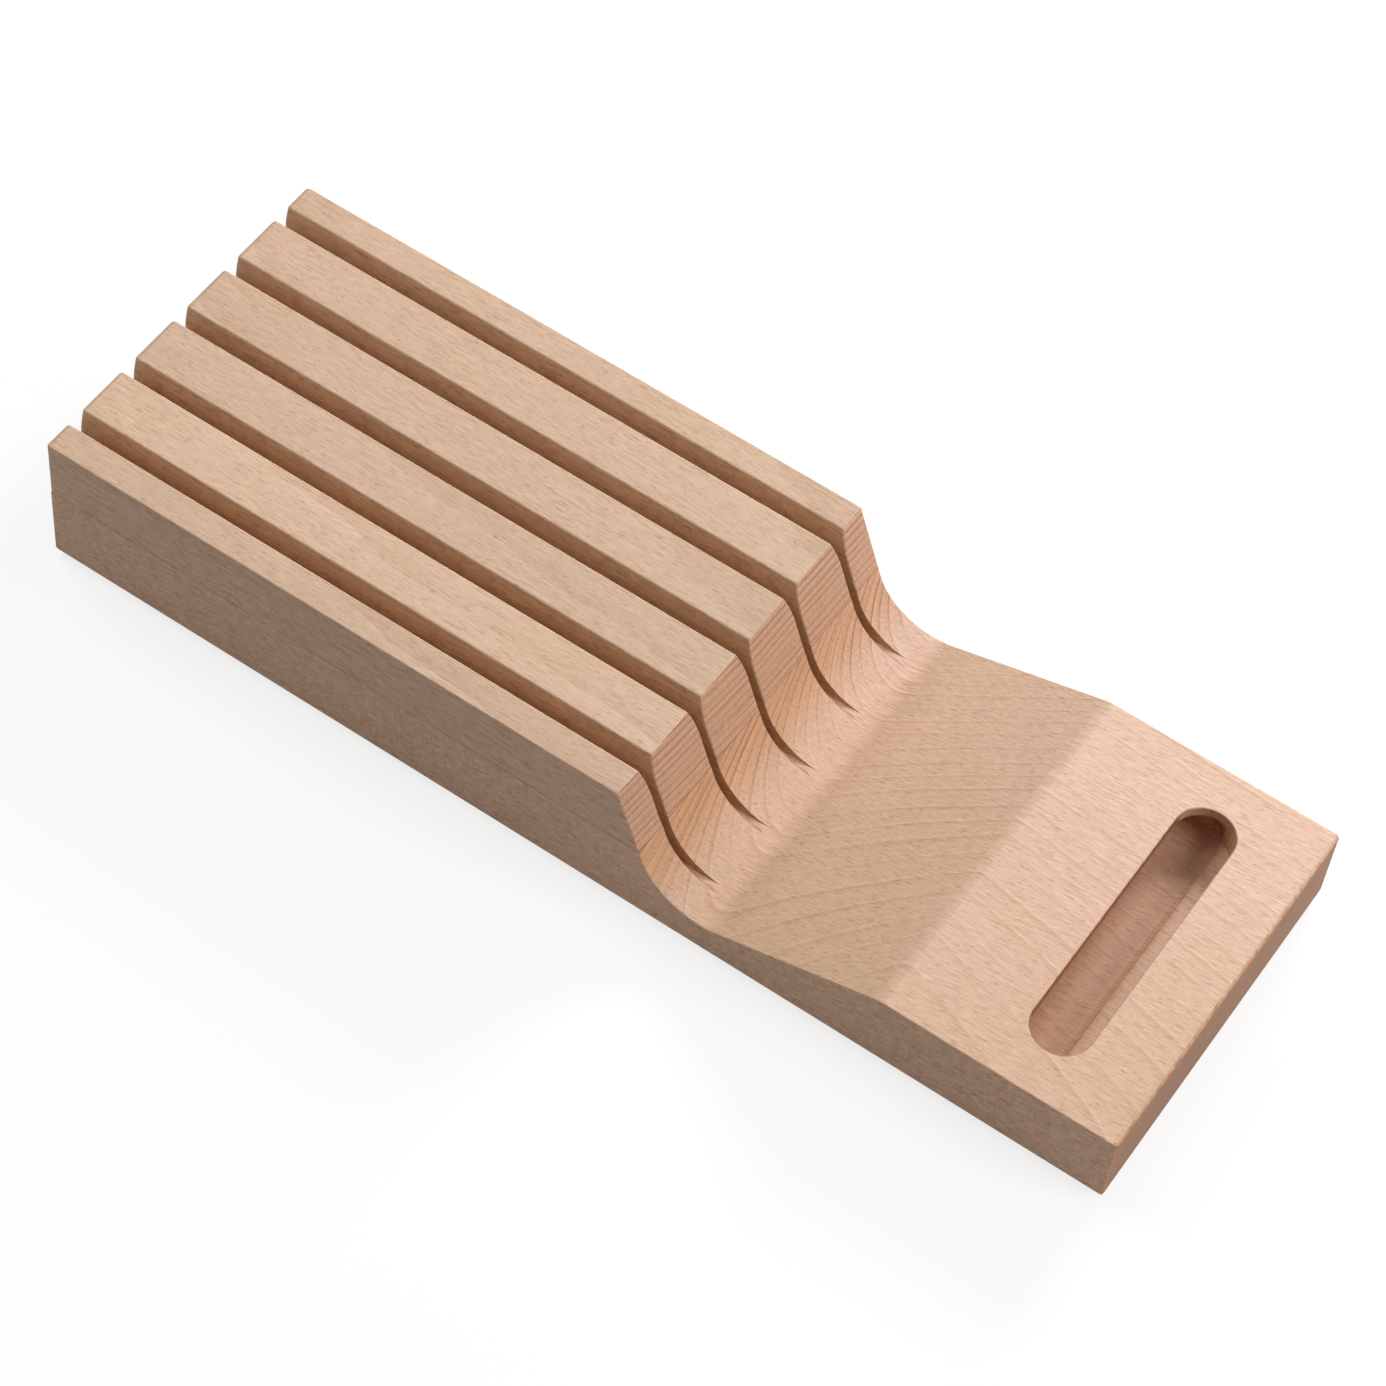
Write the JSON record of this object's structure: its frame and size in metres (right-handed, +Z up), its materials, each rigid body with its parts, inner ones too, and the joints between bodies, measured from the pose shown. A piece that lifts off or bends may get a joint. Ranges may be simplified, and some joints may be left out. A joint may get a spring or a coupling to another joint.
{
  "type": "drawer knife block",
  "caption": "Long low beech block that lies in a drawer: flared saw kerfs between glued rails hold blades, a dip frees the handles, and a finger grip lifts it.",
  "frame": {"origin": "middle of the surface that the feet stand on", "axes": "+Y from the front end with the finger grip to the back end with the kerfs, +X across, +Z up"},
  "size_m": [0.1356, 0.4, 0.0578],
  "materials": {
    "base_beech": "sanded and lightly oiled beech",
    "rail_beech": "sanded and lightly oiled beech",
    "foot_rubber": "matt"
  },
  "bodies": {
    "root": {"base_board": "base_beech", "rail_1": "rail_beech", "rail_2": "rail_beech", "rail_3": "rail_beech", "rail_4": "rail_beech", "rail_5": "rail_beech", "rail_6": "rail_beech", "foot_1": "foot_rubber", "foot_2": "foot_rubber", "foot_3": "foot_rubber", "foot_4": "foot_rubber"}
  },
  "joints": []
}
